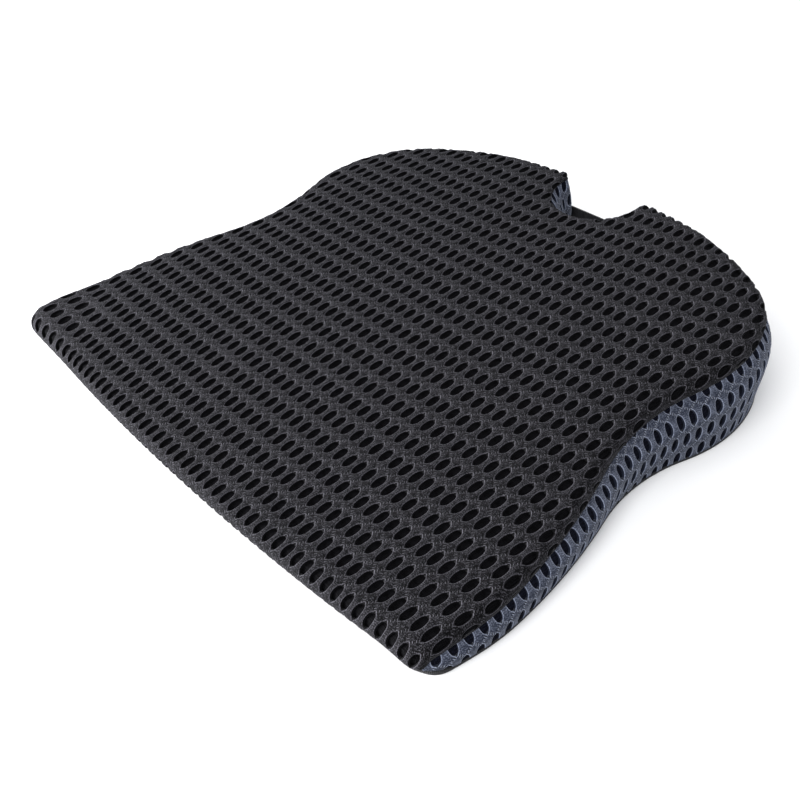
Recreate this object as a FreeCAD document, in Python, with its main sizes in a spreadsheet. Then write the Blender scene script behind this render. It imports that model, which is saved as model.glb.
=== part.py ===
import FreeCAD, Part
import math
import os
import re
import Sketcher

# Wedge seat cushion with a tailbone notch: a foam core in a knitted liner, inside a removable
# cover of spacer mesh with a zipped underside and a webbing strap across the notch.
# Frame: millimetres, +Z up, +Y from the thin front edge to the thick rear, +X to the right.
# The origin is the bottom centre of the whole cushion.

DIMENSIONS = [
    # Plan outline of the right half: tangent arcs from the front centre round to the notch.
    # Turns are in degrees. The waist and the notch bend the other way from the rest.
    ("front_reach", 204.2),
    ("bow_radius", 2360.0), ("bow_turn", 5.0),
    ("corner_radius", 18.0), ("corner_turn", 73.0),
    ("flank_radius", 162.0), ("flank_turn", 18.5),
    ("taper_radius", 428.0), ("taper_turn", 12.5),
    ("waist_radius", 134.0), ("waist_turn", 34.5),
    ("hip_radius", 117.0), ("hip_turn", 68.0),
    ("rump_radius", 179.0), ("rump_turn", 37.5),
    ("lip_radius", 12.5), ("lip_turn", 79.0),
    ("notch_turn", 79.0),
    # Side profile: the top is a very large arc, tilted so that the cushion is a wedge.
    ("middle_height", 42.9),
    ("wedge_angle", 7.76),
    ("crown_radius", 7740.0),
    ("edge_radius", 9.0),
    ("seam_drop", 9.5),
    ("gusset_start", 180.0),
    # Layers, as insets from the outside of the cover, and the height where each one starts.
    ("flush", 0.0),
    ("bottom_thickness", 1.6),
    ("mesh_thickness", 3.0),
    ("wall_floor", 1.7),
    ("liner_inset", 3.2),
    ("liner_floor", 1.8),
    ("liner_inner_inset", 3.8),
    ("liner_inner_floor", 2.4),
    ("foam_inset", 4.0),
    ("foam_floor", 2.6),
    # Zipper across the underside, in a shallow recess.
    ("zip_y", 105.0),
    ("opening_half_length", 178.0),
    ("opening_half_width", 10.0),
    ("recess_half_length", 182.0),
    ("recess_half_width", 17.0),
    ("recess_height", 8.3),
    ("liner_thickness", 0.6),
    ("tape_half_length", 176.0),
    ("tape_width", 14.0),
    ("tape_gap", 1.0),
    ("tape_floor", 5.8),
    ("tape_thickness", 0.8),
    ("coil_half_length", 170.0),
    ("coil_gap", 0.6),
    ("coil_width", 2.6),
    ("coil_floor", 4.2),
    ("coil_height", 1.6),
    ("stop_length", 3.0),
    ("stop_width", 4.0),
    # Slider, parked at the closed end, and its pull tab.
    ("slider_x", 160.0),
    ("slider_length", 12.0),
    ("slider_width", 9.2),
    ("plate_thickness", 1.1),
    ("outer_plate_floor", 2.8),
    ("inner_plate_floor", 6.9),
    ("web_thickness", 0.6),
    ("flange_width", 1.1),
    ("flange_height", 1.6),
    ("bridge_length", 8.0),
    ("bridge_width", 1.6),
    ("bridge_floor", 0.6),
    ("bridge_post", 1.0),
    ("bridge_bar", 0.8),
    ("pin_back", 1.8),
    ("pin_radius", 0.5),
    ("pin_height", 2.1),
    ("pull_start", 3.0),
    ("pull_length", 27.0),
    ("pull_width", 7.0),
    ("pull_thickness", 1.0),
    ("pull_arm", 1.4),
    ("pull_hole_radius", 1.6),
    # Webbing strap across the notch, sewn to the rear of both lobes.
    ("strap_gap", 0.2),
    ("strap_thickness", 1.6),
    ("strap_floor", 8.0),
    ("strap_height", 25.0),
    ("strap_wrap", 17.0),
]

# One entry per outline arc: its name, and +1 for a left turn or -1 for a right turn.
OUTLINE = [
    ("bow", 1), ("corner", 1), ("flank", 1), ("taper", 1), ("waist", -1),
    ("hip", 1), ("rump", 1), ("lip", 1), ("notch", -1),
]

PAST_EDGE = 260.0     # half width of helper blocks, well outside the cushion
ABOVE_TOP = 120.0     # higher than the cushion
BELOW_BASE = -20.0    # lower than the cushion

doc = FreeCAD.newDocument("seat_cushion")
sheet = doc.addObject("Spreadsheet::Sheet", "dims")
for row, (alias, number) in enumerate(DIMENSIONS, start=1):
    sheet.set("A%d" % row, alias)
    sheet.set("B%d" % row, str(number))
    sheet.setAlias("B%d" % row, alias)
doc.recompute()

SUB_PARTS = []


def dim(alias):
    return float(sheet.get(alias))


def bind(obj, prop, expression):
    """Tie a property to the sheet. Words that are aliases get the sheet's name in front."""
    aliases = {alias for alias, number in DIMENSIONS}
    obj.setExpression(prop, re.sub(
        "[a-z_]+", lambda word: "dims." * (word.group() in aliases) + word.group(), expression))


def keep(obj, label):
    """Mark a finished object as one sub-part, written to parts/LABEL.step."""
    obj.Label = label
    SUB_PARTS.append(obj)
    return obj


# ---------------------------------------------------------------- sketches and solid helpers

def origin_plane(body, role):
    for feature in body.Origin.OriginFeatures:
        if feature.Role == role:
            return feature
    raise ValueError("no origin plane " + role)


def new_sketch(body, name, role, offset="0"):
    sketch = body.newObject("Sketcher::SketchObject", name)
    sketch.AttachmentSupport = [(origin_plane(body, role), "")]
    sketch.MapMode = "FlatFace"
    bind(sketch, ".AttachmentOffset.Base.z", offset)
    return sketch


def outline_arcs(inset):
    """Walk the half outline and return each arc's centre, radius, start heading and turn."""
    arcs = []
    x, y, heading = 0.0, inset - dim("front_reach"), 0.0
    for name, side in OUTLINE:
        turn = math.radians(dim(name + "_turn"))
        if name == "notch":
            radius = x / math.sin(turn)
        else:
            radius = dim(name + "_radius") - side * inset
        cx = x - side * radius * math.sin(heading)
        cy = y + side * radius * math.cos(heading)
        arcs.append((name, side, FreeCAD.Vector(cx, cy, 0), radius, heading, turn))
        heading += side * turn
        x = cx + side * radius * math.sin(heading)
        y = cy - side * radius * math.cos(heading)
    return arcs


def path_point(arc, fraction):
    """The point that lies a fraction of the way along an arc of the outline."""
    name, side, centre, radius, heading, turn = arc
    angle = heading + side * turn * fraction
    return centre + FreeCAD.Vector(math.sin(angle), -math.cos(angle), 0) * (side * radius)


def outline_sketch(body, name, inset, floor):
    """Half outline, closed along the Y axis, moved inwards by inset and up to floor."""
    sketch = new_sketch(body, name, "XY_Plane", floor)
    up = FreeCAD.Vector(0, 0, 1)
    quarter = math.pi / 2
    ends = []
    arcs = outline_arcs(dim(inset))
    for arc_name, side, centre, radius, heading, turn in arcs:
        first = heading - quarter if side > 0 else heading + quarter - turn
        circle = Part.Circle(centre, up, radius)
        arc_id = sketch.addGeometry(Part.ArcOfCircle(circle, first, first + turn))
        ends.append((arc_id, 1, 2) if side > 0 else (arc_id, 2, 1))
    line_id = sketch.addGeometry(Part.LineSegment(path_point(arcs[-1], 1), path_point(arcs[0], 0)))

    bow_id = ends[0][0]
    sketch.addConstraint(Sketcher.Constraint("PointOnObject", bow_id, 1, -2))
    sketch.addConstraint(Sketcher.Constraint("PointOnObject", bow_id, 3, -2))
    reach = dim("front_reach") - dim(inset)
    number = sketch.addConstraint(Sketcher.Constraint("DistanceY", bow_id, 1, -1, 1, reach))
    bind(sketch, "Constraints[%d]" % number, "front_reach - " + inset)
    for (arc_id, begin, end), (next_id, next_begin, next_end) in zip(ends, ends[1:]):
        sketch.addConstraint(Sketcher.Constraint("Tangent", arc_id, end, next_id, next_begin))
    for (arc_id, begin, end), (arc_name, side, centre, radius, heading, turn) in zip(ends, arcs):
        number = sketch.addConstraint(Sketcher.Constraint("Angle", arc_id, turn))
        bind(sketch, "Constraints[%d]" % number, arc_name + "_turn * 1deg")
        if arc_name != "notch":
            number = sketch.addConstraint(Sketcher.Constraint("Radius", arc_id, radius))
            sign = "-" if side > 0 else "+"
            bind(sketch, "Constraints[%d]" % number, "%s_radius %s %s" % (arc_name, sign, inset))
    last_id, last_begin, last_end = ends[-1]
    sketch.addConstraint(Sketcher.Constraint("PointOnObject", last_id, last_end, -2))
    sketch.addConstraint(Sketcher.Constraint("Coincident", last_id, last_end, line_id, 1))
    sketch.addConstraint(Sketcher.Constraint("Coincident", bow_id, 1, line_id, 2))
    return sketch


def crown_sketch(body, name, drop, edge_z):
    """Side view region between the crown arc, lowered by drop, and the level line edge_z."""
    sketch = new_sketch(body, name, "YZ_Plane")
    tilt = math.radians(dim("wedge_angle"))
    radius = dim("crown_radius") - dim(drop)
    centre = FreeCAD.Vector(dim("crown_radius") * math.sin(tilt),
                            dim("middle_height") - dim("crown_radius") * math.cos(tilt), 0)
    reach_rear = math.acos((PAST_EDGE - centre.x) / radius)
    reach_front = math.acos((-PAST_EDGE - centre.x) / radius)
    circle = Part.Circle(centre, FreeCAD.Vector(0, 0, 1), radius)
    arc_id = sketch.addGeometry(Part.ArcOfCircle(circle, reach_rear, reach_front))
    rear = centre + FreeCAD.Vector(math.cos(reach_rear), math.sin(reach_rear), 0) * radius
    front = centre + FreeCAD.Vector(math.cos(reach_front), math.sin(reach_front), 0) * radius
    rear_edge = FreeCAD.Vector(PAST_EDGE, edge_z, 0)
    front_edge = FreeCAD.Vector(-PAST_EDGE, edge_z, 0)
    front_id = sketch.addGeometry(Part.LineSegment(front, front_edge))
    edge_id = sketch.addGeometry(Part.LineSegment(front_edge, rear_edge))
    rear_id = sketch.addGeometry(Part.LineSegment(rear_edge, rear))
    for first, first_end, second, second_end in (
            (arc_id, 2, front_id, 1), (front_id, 2, edge_id, 1),
            (edge_id, 2, rear_id, 1), (rear_id, 2, arc_id, 1)):
        sketch.addConstraint(Sketcher.Constraint("Coincident", first, first_end, second, second_end))
    sketch.addConstraint(Sketcher.Constraint("Vertical", front_id))
    sketch.addConstraint(Sketcher.Constraint("Vertical", rear_id))
    sketch.addConstraint(Sketcher.Constraint("Horizontal", edge_id))
    sketch.addConstraint(Sketcher.Constraint("DistanceX", front_id, 2, -1, 1, PAST_EDGE))
    sketch.addConstraint(Sketcher.Constraint("DistanceX", -1, 1, rear_id, 1, PAST_EDGE))
    if edge_z > 0:
        sketch.addConstraint(Sketcher.Constraint("DistanceY", -1, 1, edge_id, 1, edge_z))
    else:
        sketch.addConstraint(Sketcher.Constraint("DistanceY", edge_id, 1, -1, 1, -edge_z))
    number = sketch.addConstraint(Sketcher.Constraint("Radius", arc_id, radius))
    bind(sketch, "Constraints[%d]" % number, "crown_radius - " + drop)
    number = sketch.addConstraint(Sketcher.Constraint("DistanceX", -1, 1, arc_id, 3, centre.x))
    bind(sketch, "Constraints[%d]" % number, "crown_radius * sin( wedge_angle * 1deg )")
    number = sketch.addConstraint(Sketcher.Constraint("DistanceY", arc_id, 3, -1, 1, -centre.y))
    bind(sketch, "Constraints[%d]" % number,
         "crown_radius * cos( wedge_angle * 1deg ) - middle_height")
    return sketch


def pad(body, sketch, name, length, midplane=False):
    feature = body.newObject("PartDesign::Pad", name)
    feature.Profile = sketch
    bind(feature, "Length", length)
    feature.Midplane = midplane
    body.Tip = feature
    return feature


def mirror_left(body, original, name):
    feature = body.newObject("PartDesign::Mirrored", name)
    feature.Originals = [original]
    feature.MirrorPlane = (origin_plane(body, "YZ_Plane"), [""])
    body.Tip = feature
    return feature


def wedge_body(name, inset, floor, rounding):
    """The cushion's solid form, moved inwards by inset, with its top edge rounded."""
    body = doc.addObject("PartDesign::Body", name)
    half = pad(body, outline_sketch(body, name + "_outline", inset, floor),
               name + "_half", "%g - %s" % (ABOVE_TOP - 10, floor))
    mirror_left(body, half, name + "_whole")
    trim = body.newObject("PartDesign::Pocket", name + "_crown")
    trim.Profile = crown_sketch(body, name + "_profile", inset, ABOVE_TOP)
    trim.Type = "ThroughAll"
    trim.Midplane = True
    body.Tip = trim
    doc.recompute()
    top = max(trim.Shape.Faces, key=lambda face: face.CenterOfMass.z)
    names = ["Edge%d" % (i + 1) for i, edge in enumerate(trim.Shape.Edges)
             if any(edge.isSame(other) for other in top.Edges)]
    fillet = body.newObject("PartDesign::Fillet", name + "_rounding")
    fillet.Base = (trim, names)
    bind(fillet, "Radius", rounding)
    body.Tip = fillet
    return body


def block(name, corner, size):
    """A box from expressions for its low corner and its size."""
    box = doc.addObject("Part::Box", name)
    for axis, place in zip("xyz", corner):
        bind(box, ".Placement.Base." + axis, place)
    for prop, length in zip(("Length", "Width", "Height"), size):
        bind(box, prop, length)
    return box


def cut(name, base, tool):
    feature = doc.addObject("Part::Cut", name)
    feature.Base = base
    feature.Tool = tool
    return feature


def common(name, base, tool):
    feature = doc.addObject("Part::Common", name)
    feature.Base = base
    feature.Tool = tool
    return feature


def fuse(name, shapes):
    feature = doc.addObject("Part::MultiFuse", name)
    feature.Shapes = shapes
    feature.Refine = True
    return feature


# ---------------------------------------------------------------- cover, liner and foam

cover_outer = wedge_body("cover_outer", "flush", "wall_floor", "edge_radius")
cover_inner = wedge_body("cover_inner", "mesh_thickness", "bottom_thickness",
                         "edge_radius - mesh_thickness")
liner_outer = wedge_body("liner_outer", "liner_inset", "liner_floor", "edge_radius - liner_inset")
liner_inner = wedge_body("liner_inner", "liner_inner_inset", "liner_inner_floor",
                         "edge_radius - liner_inner_inset")
foam_blank = wedge_body("foam_blank", "foam_inset", "foam_floor", "edge_radius - foam_inset")

cover_shell = cut("cover_shell", cover_outer, cover_inner)

below_seam = doc.addObject("PartDesign::Body", "below_seam")
pad(below_seam, crown_sketch(below_seam, "seam_line", "seam_drop", BELOW_BASE),
    "seam_block", "%g" % (2 * PAST_EDGE), midplane=True)
behind_nose = block("behind_nose", ("-%g" % PAST_EDGE, "0 - gusset_start", "%g" % BELOW_BASE),
                    ("%g" % (2 * PAST_EDGE), "%g + gusset_start" % PAST_EDGE, "%g" % ABOVE_TOP))
gusset_zone = common("gusset_zone", below_seam, behind_nose)

keep(cut("top_panel_solid", cover_shell, gusset_zone), "top_panel")

gusset_ring = common("gusset_ring", cover_shell, gusset_zone)
right_half = block("right_half", ("0", "-%g" % PAST_EDGE, "%g" % BELOW_BASE),
                   ("%g" % PAST_EDGE, "%g" % (2 * PAST_EDGE), "%g" % ABOVE_TOP))
keep(common("gusset_right_solid", gusset_ring, right_half), "gusset_right")
keep(cut("gusset_left_solid", gusset_ring, right_half), "gusset_left")


def recess(name, grow):
    """The zipper's recess in the underside, grown on every side by grow."""
    return block(name, ("0 - recess_half_length - ( %s )" % grow,
                        "zip_y - recess_half_width - ( %s )" % grow, "%g" % BELOW_BASE),
                 ("2 * ( recess_half_length + %s )" % grow, "2 * ( recess_half_width + %s )" % grow,
                  "recess_height + %s - ( %g )" % (grow, BELOW_BASE)))


liner_shell = cut("liner_shell", cut("liner_outside", liner_outer, recess("liner_recess", "flush")),
                  cut("liner_inside", liner_inner, recess("liner_inner_recess", "liner_thickness")))
keep(liner_shell, "inner_liner")
keep(cut("foam_solid", foam_blank, recess("foam_recess", "foam_inset - liner_inset")), "foam_core")

# ---------------------------------------------------------------- bottom panels

bottom_blank = doc.addObject("PartDesign::Body", "bottom_blank")
half_panel = pad(bottom_blank, outline_sketch(bottom_blank, "bottom_outline", "flush", "flush"),
                 "bottom_half", "bottom_thickness")
mirror_left(bottom_blank, half_panel, "bottom_whole")

zip_opening = block("zip_opening", ("0 - opening_half_length", "zip_y - opening_half_width",
                                    "%g" % BELOW_BASE),
                    ("2 * opening_half_length", "2 * opening_half_width", "%g" % ABOVE_TOP))
hem_outside = block("hem_outside",
                    ("0 - opening_half_length - bottom_thickness",
                     "zip_y - opening_half_width - bottom_thickness", "0"),
                    ("2 * ( opening_half_length + bottom_thickness )",
                     "2 * ( opening_half_width + bottom_thickness )", "tape_floor"))
# The hem turns up round the zipper opening and carries the tapes.
bottom_sheet = cut("bottom_sheet", fuse("bottom_with_hem", [bottom_blank, hem_outside]), zip_opening)
rear_zone = block("rear_zone", ("-%g" % PAST_EDGE, "zip_y", "%g" % BELOW_BASE),
                  ("%g" % (2 * PAST_EDGE), "%g" % PAST_EDGE, "%g" % ABOVE_TOP))
keep(cut("bottom_front_solid", bottom_sheet, rear_zone), "bottom_panel_front")
keep(common("bottom_rear_solid", bottom_sheet, rear_zone), "bottom_panel_rear")

# ---------------------------------------------------------------- zipper

keep(block("tape_front", ("0 - tape_half_length", "zip_y - tape_gap - tape_width", "tape_floor"),
           ("2 * tape_half_length", "tape_width", "tape_thickness")), "zipper_tape_front")
keep(block("tape_rear", ("0 - tape_half_length", "zip_y + tape_gap", "tape_floor"),
           ("2 * tape_half_length", "tape_width", "tape_thickness")), "zipper_tape_rear")


def coil(name, low_y):
    """One half of the closed coil, as a bar with its two lower edges rounded."""
    bar = block(name + "_bar", ("0 - coil_half_length", low_y, "coil_floor"),
                ("2 * coil_half_length", "coil_width", "coil_height"))
    doc.recompute()
    rounded = doc.addObject("Part::Fillet", name)
    rounded.Base = bar
    radius = dim("coil_height") * 0.45
    long_low = [i + 1 for i, edge in enumerate(bar.Shape.Edges)
                if edge.Length > dim("coil_half_length")
                and edge.CenterOfMass.z < dim("coil_floor") + radius]
    rounded.Edges = [(number, radius, radius) for number in long_low]
    return rounded


keep(coil("coil_front", "zip_y - coil_gap - coil_width"), "zipper_coil_front")
keep(coil("coil_rear", "zip_y + coil_gap"), "zipper_coil_rear")

stops = []
for end, low_x in (("closed", "coil_half_length"), ("open", "0 - coil_half_length - stop_length")):
    for half, low_y in (("front", "zip_y - coil_gap - stop_width"), ("rear", "zip_y + coil_gap")):
        stops.append(block("stop_%s_%s" % (end, half), (low_x, low_y, "coil_floor"),
                           ("stop_length", "stop_width", "coil_height")))
stop_group = doc.addObject("Part::Compound", "stop_group")
stop_group.Links = stops
keep(stop_group, "zipper_stops")

# The slider: an inner and an outer plate joined by a thin web between the coil halves,
# flanges that hold the coil from the sides, and a bridge that holds the pull.
slider_back = "slider_x - slider_length / 2"
slider_low_y = "zip_y - slider_width / 2"
outer_top = "outer_plate_floor + plate_thickness"
slider_blocks = [
    block("plate_outer", (slider_back, slider_low_y, "outer_plate_floor"),
          ("slider_length", "slider_width", "plate_thickness")),
    block("plate_inner", (slider_back, slider_low_y, "inner_plate_floor"),
          ("slider_length", "slider_width", "plate_thickness")),
    block("web", ("slider_x - slider_length / 4", "zip_y - web_thickness / 2", outer_top),
          ("slider_length / 2", "web_thickness", "inner_plate_floor - outer_plate_floor")),
    block("flange_front", (slider_back, slider_low_y, outer_top),
          ("slider_length", "flange_width", "flange_height")),
    block("flange_rear", (slider_back, "zip_y + slider_width / 2 - flange_width", outer_top),
          ("slider_length", "flange_width", "flange_height")),
]
bridge_solid = block("bridge_solid",
                     ("slider_x - bridge_length / 2", "zip_y - bridge_width / 2", "bridge_floor"),
                     ("bridge_length", "bridge_width", "outer_plate_floor - bridge_floor"))
bridge_window = block("bridge_window",
                      ("slider_x - bridge_length / 2 + bridge_post", "zip_y - bridge_width",
                       "bridge_floor + bridge_bar"),
                      ("bridge_length - 2 * bridge_post", "2 * bridge_width",
                       "outer_plate_floor - bridge_floor - bridge_bar"))
slider_blocks.append(cut("bridge", bridge_solid, bridge_window))
keep(fuse("slider_solid", slider_blocks), "zipper_slider")

# The pull: a tab with a fork whose pin passes through the slider's bridge.
pin = doc.addObject("Part::Cylinder", "pull_pin")
bind(pin, "Radius", "pin_radius")
bind(pin, "Height", "pull_width - pull_arm")
pin.Placement.Rotation = FreeCAD.Rotation(FreeCAD.Vector(1, 0, 0), -90)
bind(pin, ".Placement.Base.x", "slider_x - pin_back")
bind(pin, ".Placement.Base.y", "zip_y - ( pull_width - pull_arm ) / 2")
bind(pin, ".Placement.Base.z", "pin_height")
pull_floor = "pin_height - pull_thickness / 2"
arm_reach = "pin_radius + pull_start"
arms = [block("pull_arm_" + half,
              ("slider_x - pin_back - pull_start", low_y, pull_floor),
              (arm_reach, "pull_arm", "pull_thickness"))
        for half, low_y in (("front", "zip_y - pull_width / 2"),
                            ("rear", "zip_y + pull_width / 2 - pull_arm"))]
tab = block("pull_tab", ("slider_x - pin_back - pull_start - pull_length",
                         "zip_y - pull_width / 2", pull_floor),
            ("pull_length", "pull_width", "pull_thickness"))
tab_hole = doc.addObject("Part::Cylinder", "pull_hole")
bind(tab_hole, "Radius", "pull_hole_radius")
bind(tab_hole, "Height", "4 * pull_thickness")
bind(tab_hole, ".Placement.Base.x",
     "slider_x - pin_back - pull_start - pull_length + 3 * pull_hole_radius")
bind(tab_hole, ".Placement.Base.y", "zip_y")
bind(tab_hole, ".Placement.Base.z", "pin_height - 2 * pull_thickness")
keep(cut("pull_solid", fuse("pull_blank", [pin, tab] + arms), tab_hole), "zipper_pull")

# ---------------------------------------------------------------- strap

# The strap runs straight across the notch and follows the rear of each lobe.
strap = doc.addObject("PartDesign::Body", "strap_body")
strap_sketch = new_sketch(strap, "strap_plan", "XY_Plane", "strap_floor")
rump = [arc for arc in outline_arcs(0.0) if arc[0] == "rump"][0]
lobe_centre, lobe_radius = rump[2], rump[3]
lobe_end_heading = rump[4] + rump[5]
top_angle = lobe_end_heading - math.pi / 2
wrap = math.radians(dim("strap_wrap"))
inner_r = lobe_radius + dim("strap_gap")
outer_r = inner_r + dim("strap_thickness")


def lobe_point(radius, angle, side):
    return FreeCAD.Vector(side * (lobe_centre.x + radius * math.cos(angle)),
                          lobe_centre.y + radius * math.sin(angle), 0)


def strap_edge(radius):
    """Right arc, straight middle and left arc of one long edge of the strap."""
    right_end = lobe_point(radius, top_angle - wrap, 1)
    right_mid = lobe_point(radius, top_angle - wrap / 2, 1)
    right_top = lobe_point(radius, top_angle, 1)
    left_top = lobe_point(radius, top_angle, -1)
    left_mid = lobe_point(radius, top_angle - wrap / 2, -1)
    left_end = lobe_point(radius, top_angle - wrap, -1)
    return [Part.Arc(right_end, right_mid, right_top), Part.LineSegment(right_top, left_top),
            Part.Arc(left_top, left_mid, left_end)], right_end, left_end


inner_edge, inner_right, inner_left = strap_edge(inner_r)
outer_edge, outer_right, outer_left = strap_edge(outer_r)
strap_sketch.addGeometry(inner_edge + outer_edge
                         + [Part.LineSegment(inner_right, outer_right),
                            Part.LineSegment(inner_left, outer_left)])
pad(strap, strap_sketch, "strap_webbing", "strap_height")
keep(strap, "rear_strap")

# ---------------------------------------------------------------- check and write

doc.recompute()
failed = [obj.Label for obj in doc.Objects if {"Invalid", "Error"} & set(obj.State)]
if failed:
    raise RuntimeError("failed objects: " + ", ".join(failed))
for obj in SUB_PARTS:
    if obj.Shape.isNull() or not obj.Shape.isValid() or not obj.Shape.Solids:
        raise RuntimeError("bad shape: " + obj.Label)

os.makedirs("parts", exist_ok=True)
for obj in SUB_PARTS:
    obj.Shape.exportStep("parts/%s.step" % obj.Label)
    box = obj.Shape.BoundBox
    print("%-20s %d solid(s) %9.1f cm3  x %7.1f %7.1f  y %7.1f %7.1f  z %5.1f %5.1f" % (
        obj.Label, len(obj.Shape.Solids), obj.Shape.Volume / 1000, box.XMin, box.XMax,
        box.YMin, box.YMax, box.ZMin, box.ZMax))
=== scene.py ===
import math

import bpy
import numpy as np
from mathutils import Matrix, Vector
from mathutils.kdtree import KDTree


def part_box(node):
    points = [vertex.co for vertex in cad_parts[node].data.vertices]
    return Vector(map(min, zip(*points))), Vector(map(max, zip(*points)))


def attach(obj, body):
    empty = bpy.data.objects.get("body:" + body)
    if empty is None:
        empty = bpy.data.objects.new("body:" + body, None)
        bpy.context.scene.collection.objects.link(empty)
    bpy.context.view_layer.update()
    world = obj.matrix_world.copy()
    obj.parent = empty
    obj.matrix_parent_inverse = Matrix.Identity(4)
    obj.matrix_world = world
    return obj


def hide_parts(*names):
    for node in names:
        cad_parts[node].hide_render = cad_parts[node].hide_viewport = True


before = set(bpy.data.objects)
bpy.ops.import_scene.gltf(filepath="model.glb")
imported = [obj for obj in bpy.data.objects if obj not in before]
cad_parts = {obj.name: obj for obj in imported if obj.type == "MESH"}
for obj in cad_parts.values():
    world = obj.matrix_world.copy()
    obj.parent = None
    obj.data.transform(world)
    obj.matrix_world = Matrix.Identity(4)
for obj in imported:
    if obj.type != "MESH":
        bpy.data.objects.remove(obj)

# Wedge seat cushion. Lengths below are millimetres in the frame of the CAD model, and become
# metres only when a mesh is made.
MM = 0.001
TURN = 2 * math.pi
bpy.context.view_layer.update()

# ------------------------ plan outline

# Half outlines as tangent arcs from the front centre to the notch: radius in mm, turn in degrees,
# +1 for a left turn and -1 for a right turn. The notch's radius closes the outline.
FOOT_REACH = 204.2
FOOT_ARCS = [
    (2360.0, 5.0, 1), (18.0, 73.0, 1), (162.0, 18.5, 1), (428.0, 12.5, 1), (134.0, 34.5, -1),
    (117.0, 68.0, 1), (179.0, 37.5, 1), (12.5, 79.0, 1), (None, 79.0, -1),
]
# The seam between the top panel and the side bands lies inside the underside's outline,
# most of all at the rear lobes, where the bands lean out.
SEAM_REACH = 200.7
SEAM_ARCS = [
    (2356.0, 5.0, 1), (14.5, 73.9, 1), (186.0, 18.3, 1), (390.0, 13.3, 1), (132.0, 37.0, -1),
    (99.0, 70.5, 1), (196.0, 36.0, 1), (7.5, 93.0, 1), (None, 93.0, -1),
]


class Outline:
    """Closed outline of tangent arcs. Walks anticlockwise from the front centre."""

    def __init__(self, reach, half):
        right = []
        x, y, heading = 0.0, -reach, 0.0
        for radius, turn, side in half:
            turn = math.radians(turn)
            radius = x / math.sin(turn) if radius is None else radius
            cx = x - side * radius * math.sin(heading)
            cy = y + side * radius * math.cos(heading)
            right.append((cx, cy, radius, side, heading, heading + side * turn))
            heading += side * turn
            x = cx + side * radius * math.sin(heading)
            y = cy - side * radius * math.cos(heading)
        left = [(-cx, cy, radius, side, TURN - end, TURN - begin)
                for cx, cy, radius, side, begin, end in reversed(right)]
        self.arcs = right + left
        lengths = [arc[2] * abs(arc[5] - arc[4]) for arc in self.arcs]
        self.starts = np.concatenate([[0.0], np.cumsum(lengths)])
        self.length = self.starts[-1]
        self.corner_start = self.starts[1]

    def at(self, s):
        """Point and heading at distance s along the outline."""
        s = np.mod(np.asarray(s, float), self.length)
        index = np.clip(np.searchsorted(self.starts, s, side="right") - 1, 0, len(self.arcs) - 1)
        cx, cy, radius, side, begin, end = np.array(self.arcs)[index].T
        heading = begin + side * (s - self.starts[index]) / radius
        return cx + side * radius * np.sin(heading), cy - side * radius * np.cos(heading), heading

    def locate(self, x, y):
        """Depth inside the outline, and the distance along it and heading at the nearest point."""
        best = np.full(np.shape(x), np.inf)
        depth, along, facing = np.zeros_like(best), np.zeros_like(best), np.zeros_like(best)
        for (cx, cy, radius, side, begin, end), start in zip(self.arcs, self.starts):
            vx, vy = side * (x - cx), side * (y - cy)
            heading = np.arctan2(vy, vx) + math.pi / 2
            middle = (begin + end) / 2
            heading += TURN * np.round((middle - heading) / TURN)
            heading = np.clip(heading, min(begin, end), max(begin, end))
            px = cx + side * radius * np.sin(heading)
            py = cy - side * radius * np.cos(heading)
            gap = np.hypot(x - px, y - py)
            nearer = gap < best - 1e-9
            best = np.where(nearer, gap, best)
            inside = side * (radius - np.hypot(vx, vy)) > 0
            depth = np.where(nearer, np.where(inside, gap, -gap), depth)
            along = np.where(nearer, start + radius * abs(heading - begin), along)
            facing = np.where(nearer, heading, facing)
        return depth, along, facing


SEAM = Outline(SEAM_REACH, SEAM_ARCS)
FOOT = Outline(FOOT_REACH, FOOT_ARCS)
SEAM_MIDDLE = SEAM.length / 2

# ------------------------ top surface and rolled edge

CROWN_MIDDLE = 41.4      # height of the top surface above the origin
CROWN_SLOPE = 0.1382     # rise towards the rear
CROWN_SAG = 6.2e-5       # the top is slightly arched from front to rear
CROWN_DISH = 1.05e-4     # and slightly dished from side to side

SIDE_DROP = 9.0          # from the top surface down to the side seam
NOTCH_DROP = 3.5         # in the notch the seam runs closer under the top surface
NOTCH_REACH = 62.0       # along the seam, from the notch's middle to where the seam drops again
NOTCH_BLEND = 22.0       # distance over which it drops
SIDE_END = 120.0         # degrees that the fabric has turned through at the side seam
NOSE_END = 165.0         # and at the seam under the nose
NOSE_FLOOR = 0.9         # height of that seam
NOSE_POWER = 1.7         # the nose curves gently at first, then tightly
NOSE_PROUD = 2.9         # the nose stands out past the line of the side seam
INSET_GUESS = 10.0       # the edge's width is found in a few rounds from this one
INSET_ROUNDS = 6
GUSSET_BEGIN = 7.0       # along the seam, from the start of the front corner
GUSSET_RISE = 9.0        # distance over which the side seam climbs to its full height
HEM_INSET = 0.4          # the bottom seam lies inside the underside's outline
NOSE_TUCK = 4.2          # and further in under the nose, behind the rolled fabric
TUCK_BLEND = 20.0        # distance over which it comes out again
SECTIONS = 720           # cross-sections along the seam
STEPS = 49               # points of each


def crown(x, y):
    return CROWN_MIDDLE + CROWN_SLOPE * y - CROWN_SAG * y * y + CROWN_DISH * x * x


def crown_gradient(x, y):
    return 2 * CROWN_DISH * x, CROWN_SLOPE - 2 * CROWN_SAG * y


def smooth(t):
    t = np.clip(t, 0.0, 1.0)
    return t * t * (3 - 2 * t)


def past_nose(s):
    """Distance along the seam past the place where the nearer side band begins."""
    s = np.mod(s, SEAM.length)
    return np.minimum(s, SEAM.length - s) - (SEAM.corner_start + GUSSET_BEGIN)


def nose_share(s):
    """1 where the top panel wraps right round the nose, 0 where it ends at the side seam."""
    return 1.0 - smooth(past_nose(s) / GUSSET_RISE)


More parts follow.
